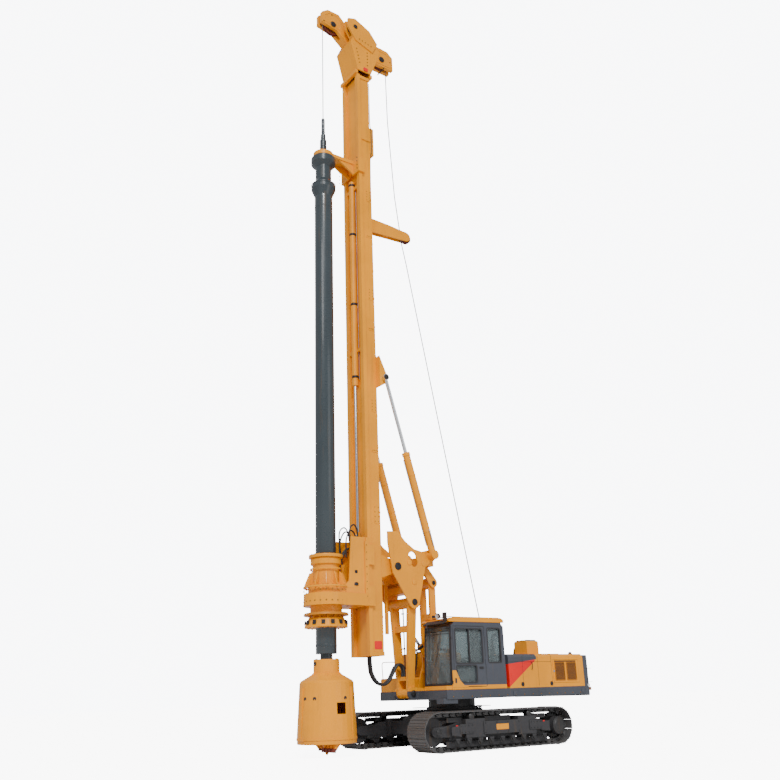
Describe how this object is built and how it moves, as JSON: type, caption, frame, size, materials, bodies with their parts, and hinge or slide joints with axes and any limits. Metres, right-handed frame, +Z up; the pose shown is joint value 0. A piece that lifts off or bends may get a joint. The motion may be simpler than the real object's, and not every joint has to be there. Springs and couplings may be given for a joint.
{
  "type": "rotary piling rig",
  "caption": "Rotary piling rig on crawlers: slewing upper with cab and winch, parallelogram boom, tall tilting mast, rotary drive, kelly bar and drilling bucket.",
  "frame": {"origin": "on the ground below the middle of the machine's outer box", "axes": "+X from the counterweight to the kelly bar, +Y to the machine's left, +Z up along the mast"},
  "size_m": [8.5403, 3.93, 22.28],
  "materials": {
    "yellow_paint": "semi-gloss machine paint, scuffed",
    "slate_paint": "satin, wet with oil",
    "dark_paint": "satin machine paint, dusty",
    "track_steel": "worn, muddy",
    "rod_chrome": "polished",
    "glazing": "tinted",
    "hose_rubber": "matt",
    "seat_fabric": "woven"
  },
  "bodies": {
    "undercarriage": {"carbody": "dark_paint", "slew_ring": "track_steel"},
    "left_crawler": {"left_track": "track_steel", "left_track_frame": "dark_paint", "left_idler": "track_steel", "left_sprocket": "track_steel"},
    "right_crawler": {"right_track": "track_steel", "right_track_frame": "dark_paint", "right_idler": "track_steel", "right_sprocket": "track_steel"},
    "upper": {"deck": "dark_paint", "engine_house": "yellow_paint", "counterweight": "dark_paint", "engine_block": "dark_paint", "hydraulic_tank": "yellow_paint", "tool_box": "yellow_paint", "air_cleaner": "yellow_paint", "winch_frame": "dark_paint", "cab": "dark_paint", "cab_roof": "yellow_paint", "windscreen": "glazing", "side_window": "glazing", "right_window": "glazing", "rear_window": "glazing", "operator_seat": "seat_fabric"},
    "cab_door_leaf": {"cab_door": "dark_paint", "door_glass": "glazing"},
    "left_service_leaf": {"left_service_door": "yellow_paint"},
    "right_service_leaf": {"right_service_door": "yellow_paint"},
    "hood_leaf": {"engine_hood": "yellow_paint"},
    "drum": {"winch_drum": "track_steel"},
    "boom_body": {"boom": "yellow_paint"},
    "link_body": {"support_link": "yellow_paint"},
    "triangle_body": {"triangle_frame": "yellow_paint", "mast_hose_1": "hose_rubber", "mast_hose_2": "hose_rubber"},
    "luff_barrel_body": {"luff_barrel": "yellow_paint"},
    "luff_rod_body": {"luff_rod": "rod_chrome"},
    "tilt_barrels": {"left_tilt_barrel": "yellow_paint", "right_tilt_barrel": "yellow_paint"},
    "tilt_rods": {"left_tilt_rod": "rod_chrome", "right_tilt_rod": "rod_chrome"},
    "mast_body": {"mast": "yellow_paint", "mast_head": "yellow_paint", "guide_bracket": "yellow_paint", "crowd_barrel": "yellow_paint"},
    "front_sheave": {"head_front_sheave": "track_steel"},
    "rear_sheave": {"head_rear_sheave": "track_steel"},
    "side_sheave": {"head_side_sheave": "track_steel"},
    "rope_guide_sheave": {"guide_sheave": "track_steel"},
    "drive_body": {"rotary_drive": "yellow_paint", "crowd_rod": "rod_chrome"},
    "drive_output": {"drive_bell": "yellow_paint"},
    "kelly_carriage": {"kelly_guide": "yellow_paint", "kelly_swivel": "slate_paint"},
    "kelly_body": {"kelly_bar": "slate_paint", "bucket": "yellow_paint"},
    "bucket_floor_body": {"bucket_floor": "yellow_paint"}
  },
  "joints": [
    {"name": "left_track_retract", "type": "slide", "parent": "undercarriage", "child": "left_crawler", "axis": [0, -1, 0], "range_m": [0, 0.5]},
    {"name": "right_track_retract", "type": "slide", "parent": "undercarriage", "child": "right_crawler", "axis": [0, 1, 0], "range_m": [0, 0.5]},
    {"name": "slewing", "type": "hinge", "parent": "undercarriage", "child": "upper", "pos_m": [-0.33985, 0, 1.1], "axis": [0, 0, 1], "continuous": true},
    {"name": "cab_door_swing", "type": "hinge", "parent": "upper", "child": "cab_door_leaf", "pos_m": [-0.35985, 1.456, 2.2], "axis": [0, 0, 1], "range_deg": [0, 150]},
    {"name": "left_service_door_swing", "type": "hinge", "parent": "upper", "child": "left_service_leaf", "pos_m": [-2.75985, 1.456, 1.8], "axis": [0, 0, -1], "range_deg": [0, 120]},
    {"name": "right_service_door_swing", "type": "hinge", "parent": "upper", "child": "right_service_leaf", "pos_m": [-2.75985, -1.456, 1.8], "axis": [0, 0, 1], "range_deg": [0, 120]},
    {"name": "engine_hood_lift", "type": "hinge", "parent": "upper", "child": "hood_leaf", "pos_m": [-3.77985, 0, 2.256], "axis": [0, -1, 0], "range_deg": [0, 70]},
    {"name": "winch_drum_spin", "type": "hinge", "parent": "upper", "child": "drum", "pos_m": [-1.95985, 0, 1.86], "axis": [0, 1, 0], "continuous": true},
    {"name": "boom_luff", "type": "hinge", "parent": "upper", "child": "boom_body", "pos_m": [1.16015, 0, 1.35], "axis": [0, 1, 0], "range_deg": [-5, 15]},
    {"name": "support_link_swing", "type": "hinge", "parent": "upper", "child": "link_body", "pos_m": [0.32015, 0, 1.91], "axis": [0, 1, 0], "range_deg": [-5.01, 15.01]},
    {"name": "triangle_level", "type": "hinge", "parent": "boom_body", "child": "triangle_body", "pos_m": [1.16015, 0, 3.6], "axis": [0, 1, 0], "range_deg": [-15.01, 5.01]},
    {"name": "luff_barrel_swing", "type": "hinge", "parent": "upper", "child": "luff_barrel_body", "pos_m": [-0.13985, 0, 1.58], "axis": [0, 1, 0], "range_deg": [-3.1, 9.3]},
    {"name": "luff_rod_slide", "type": "slide", "parent": "luff_barrel_body", "child": "luff_rod_body", "axis": [0.6363, 0, 0.7714], "range_m": [-0.096, 0.287]},
    {"name": "mast_tilt", "type": "hinge", "parent": "triangle_body", "child": "mast_body", "pos_m": [1.66015, 0, 4.5], "axis": [0, 1, 0], "range_deg": [-90, 5], "deforming": ["mast_hose_1", "mast_hose_2"]},
    {"name": "tilt_barrel_swing", "type": "hinge", "parent": "triangle_body", "child": "tilt_barrels", "pos_m": [0.56015, 0, 4.84], "axis": [0, 1, 0], "range_deg": [-106.8, 6]},
    {"name": "tilt_rod_slide", "type": "slide", "parent": "tilt_barrels", "child": "tilt_rods", "axis": [0.2755, 0, 0.9613], "range_m": [-0.956, 0.0535]},
    {"name": "front_sheave_spin", "type": "hinge", "parent": "mast_body", "child": "front_sheave", "pos_m": [3.23015, 0, 21.78], "axis": [0, 1, 0], "continuous": true},
    {"name": "rear_sheave_spin", "type": "hinge", "parent": "mast_body", "child": "rear_sheave", "pos_m": [1.36015, 0, 21.25], "axis": [0, 1, 0], "continuous": true},
    {"name": "side_sheave_spin", "type": "hinge", "parent": "mast_body", "child": "side_sheave", "pos_m": [2.61015, 0.41, 21.72], "axis": [0, 1, 0], "continuous": true},
    {"name": "guide_sheave_spin", "type": "hinge", "parent": "mast_body", "child": "rope_guide_sheave", "pos_m": [0.58015, 0, 14.83], "axis": [0, 1, 0], "continuous": true},
    {"name": "drive_crowd", "type": "slide", "parent": "mast_body", "child": "drive_body", "axis": [0, 0, 1], "range_m": [-0.45, 4.1]},
    {"name": "drive_output_turn", "type": "hinge", "parent": "drive_body", "child": "drive_output", "pos_m": [3.53015, 0, 3.1], "axis": [0, 0, 1], "continuous": true},
    {"name": "kelly_hoist", "type": "slide", "parent": "mast_body", "child": "kelly_carriage", "axis": [0, 0, 1], "range_m": [-10.4, 0.25]},
    {"name": "kelly_turn", "type": "hinge", "parent": "kelly_carriage", "child": "kelly_body", "pos_m": [3.53015, 0, 16.7], "axis": [0, 0, 1], "continuous": true},
    {"name": "bucket_floor_drop", "type": "hinge", "parent": "kelly_body", "child": "bucket_floor_body", "pos_m": [4.25015, 0, 0.3895], "axis": [0, -1, 0], "range_deg": [0, 90]}
  ],
  "couplings": [
    {"joint": "support_link_swing", "follows": "boom_luff", "ratio": 1},
    {"joint": "triangle_level", "follows": "boom_luff", "ratio": -1},
    {"joint": "luff_barrel_swing", "follows": "boom_luff", "ratio": 0.616},
    {"joint": "luff_rod_slide", "follows": "boom_luff", "m_per_rad": 1.0926},
    {"joint": "tilt_barrel_swing", "follows": "mast_tilt", "ratio": 1.186},
    {"joint": "tilt_rod_slide", "follows": "mast_tilt", "m_per_rad": 0.608},
    {"joint": "drive_output_turn", "follows": "kelly_turn", "ratio": 1}
  ]
}
